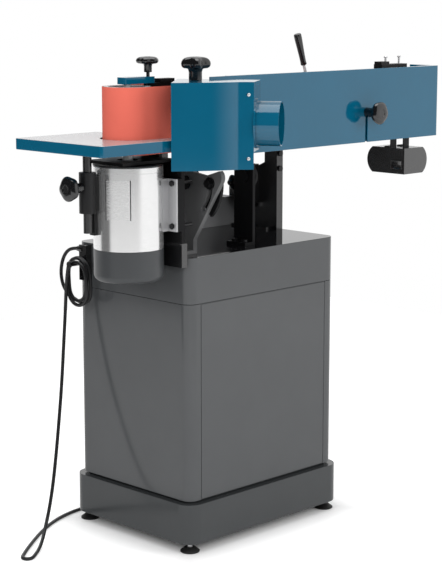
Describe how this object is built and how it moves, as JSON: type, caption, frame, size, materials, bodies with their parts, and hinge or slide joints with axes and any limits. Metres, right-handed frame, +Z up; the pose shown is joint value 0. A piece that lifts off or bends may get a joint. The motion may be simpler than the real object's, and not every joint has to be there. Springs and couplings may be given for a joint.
{
  "type": "oscillating edge sander",
  "caption": "Floor-standing edge sander with an upright oscillating abrasive belt on a tilting head, work tables, dust hood and a cabinet stand.",
  "frame": {"origin": "on the floor, under the middle of the machine's box without its cord", "axes": "+X along the belt to the idler end, +Y towards the operator, +Z up"},
  "size_m": [1.2352, 0.714, 1.1978],
  "materials": {
    "cabinet_grey": "fine textured powder coat",
    "plinth_grey": "fine textured powder coat",
    "plate_grey": "satin paint",
    "plate_black": "satin paint",
    "bolt_black": "black oxide",
    "guard_blue": "hammered enamel",
    "cast_black": "painted casting",
    "table_iron": "ground top, enamelled edge",
    "ground_steel": "ground",
    "bright_steel": "bright plated",
    "motor_aluminium": "polished",
    "fan_cover_grey": "satin paint",
    "foot_rubber": "matt",
    "cord_sheath": "satin sheath",
    "graphite_cloth": "graphite coated",
    "abrasive_red": "bonded abrasive grain",
    "moulded_black": "moulded",
    "switch_black": "moulded",
    "button_green": "moulded",
    "button_red": "moulded"
  },
  "bodies": {
    "stand": {"cabinet_shell": "cabinet_grey", "cabinet_cap": "cabinet_grey", "plinth": "plinth_grey", "access_panel": "cabinet_grey", "foot_pads": "foot_rubber", "foot_studs": "bright_steel", "tilt_quadrant": "plate_grey", "trunnion_plate": "plate_black", "table_columns": "plate_black", "cross_channel": "plate_grey", "table_sleeves": "plate_black", "frame_bolts": "bolt_black", "cord_hook": "moulded_black", "mains_cord": "cord_sheath", "cord_hank": "cord_sheath", "cord_coil": "cord_sheath", "mains_plug": "moulded_black"},
    "head": {"head_beam": "plate_black", "guide_rods": "bright_steel", "platen": "ground_steel", "graphite_pad": "graphite_cloth", "tilt_lugs": "plate_black", "motor_mount_plate": "plate_black", "motor_body": "motor_aluminium", "motor_end_shield": "plate_black", "motor_feet": "motor_aluminium", "fan_cover": "fan_cover_grey", "oscillation_gearbox": "cast_black", "rear_guard": "guard_blue", "guard_strap": "guard_blue", "dust_hood": "guard_blue", "dust_port": "guard_blue", "head_screws": "bolt_black", "post_clamp": "cast_black", "switch_box": "switch_black"},
    "rotor": {"motor_shaft": "bright_steel"},
    "carriage": {"carriage_bar": "ground_steel", "drum_arm": "plate_black", "drum_top_block": "guard_blue", "sanding_belt": "abrasive_red"},
    "drum": {"drive_drum": "motor_aluminium", "drum_sleeve": "foot_rubber"},
    "idler_slide": {"idler_yoke": "cast_black"},
    "idler": {"idler_roller": "ground_steel"},
    "tracking_screw": {"tracking_screw": "bright_steel"},
    "lever": {"tension_lever": "bright_steel", "lever_grip": "moulded_black"},
    "crank": {"eccentric_crank": "bright_steel"},
    "small_table": {"small_table": "table_iron", "small_table_post": "plate_black"},
    "main_table": {"main_table": "table_iron", "main_table_posts": "bright_steel"},
    "small_table_knob": {"small_table_knob": "moulded_black"},
    "main_table_knob": {"main_table_knob": "moulded_black"},
    "hood_knob": {"hood_knob": "moulded_black"},
    "arm_knob": {"arm_knob": "moulded_black"},
    "guard_knob": {"guard_knob": "moulded_black"},
    "tilt_lock": {"tilt_lock_nut": "bolt_black"},
    "start_button": {"start_button": "button_green"},
    "stop_button": {"stop_button": "button_red"}
  },
  "joints": [
    {"name": "head_tilt", "type": "hinge", "parent": "stand", "child": "head", "pos_m": [-0.16, -0.061, 0.865], "axis": [1, 0, 0], "range_deg": [0, 45]},
    {"name": "oscillation", "type": "slide", "parent": "head", "child": "carriage", "axis": [0, 0, 1], "range_m": [-0.004, 0.004]},
    {"name": "rotor_spin", "type": "hinge", "parent": "head", "child": "rotor", "pos_m": [-0.426, -0.04, 0.82], "axis": [0, 0, 1], "continuous": true},
    {"name": "drum_spin", "type": "hinge", "parent": "carriage", "child": "drum", "pos_m": [-0.426, -0.04, 1.016], "axis": [0, 0, 1], "continuous": true},
    {"name": "tension_slide", "type": "slide", "parent": "carriage", "child": "idler_slide", "axis": [1, 0, 0], "range_m": [-0.012, 0]},
    {"name": "lever_throw", "type": "hinge", "parent": "carriage", "child": "lever", "pos_m": [0.188, -0.022, 1.092], "axis": [0, 1, 0], "range_deg": [0, 60]},
    {"name": "idler_spin", "type": "hinge", "parent": "idler_slide", "child": "idler", "pos_m": [0.556, -0.023, 1.016], "axis": [0, 0, 1], "continuous": true},
    {"name": "tracking_turn", "type": "hinge", "parent": "idler_slide", "child": "tracking_screw", "pos_m": [0.536, -0.036, 1.113], "axis": [0, 0, 1], "range_deg": [-180, 180]},
    {"name": "crank_turn", "type": "hinge", "parent": "head", "child": "crank", "pos_m": [0, -0.06, 1.01], "axis": [0, -1, 0], "range_deg": [-29, 29]},
    {"name": "small_table_lift", "type": "slide", "parent": "head", "child": "small_table", "axis": [0, 0, 1], "range_m": [-0.015, 0.04]},
    {"name": "small_table_clamp", "type": "hinge", "parent": "head", "child": "small_table_knob", "pos_m": [-0.5453, -0.017, 0.872], "axis": [-1, 0, 0], "range_deg": [0, 180]},
    {"name": "main_table_lift", "type": "slide", "parent": "stand", "child": "main_table", "axis": [0, 0, 1], "range_m": [-0.015, 0.06]},
    {"name": "main_table_clamp", "type": "hinge", "parent": "stand", "child": "main_table_knob", "pos_m": [0.136, 0.1553, 0.815], "axis": [0, 1, 0], "range_deg": [0, 180]},
    {"name": "hood_clamp", "type": "hinge", "parent": "head", "child": "hood_knob", "pos_m": [-0.299, -0.127, 1.103], "axis": [0, 0, 1], "range_deg": [0, 180]},
    {"name": "arm_clamp", "type": "hinge", "parent": "carriage", "child": "arm_knob", "pos_m": [-0.363, -0.04, 1.12], "axis": [0, 0, 1], "range_deg": [0, 180]},
    {"name": "guard_clamp", "type": "hinge", "parent": "head", "child": "guard_knob", "pos_m": [0.312, -0.116, 1], "axis": [0, -1, 0], "range_deg": [0, 180]},
    {"name": "tilt_lock_turn", "type": "hinge", "parent": "head", "child": "tilt_lock", "pos_m": [-0.266, -0.14089, 0.86919], "axis": [-1, 0, 0], "range_deg": [0, 180]},
    {"name": "start_press", "type": "slide", "parent": "head", "child": "start_button", "axis": [0, -1, 0], "range_m": [0, 0.004], "stiffness_N_per_m": 600},
    {"name": "stop_press", "type": "slide", "parent": "head", "child": "stop_button", "axis": [0, -1, 0], "range_m": [0, 0.004], "stiffness_N_per_m": 600}
  ],
  "couplings": [
    {"joint": "drum_spin", "follows": "rotor_spin", "ratio": 1},
    {"joint": "idler_spin", "follows": "rotor_spin", "ratio": 1.4533},
    {"joint": "lever_throw", "follows": "tension_slide", "rad_per_m": -87.26},
    {"joint": "crank_turn", "follows": "oscillation", "rad_per_m": 125}
  ]
}
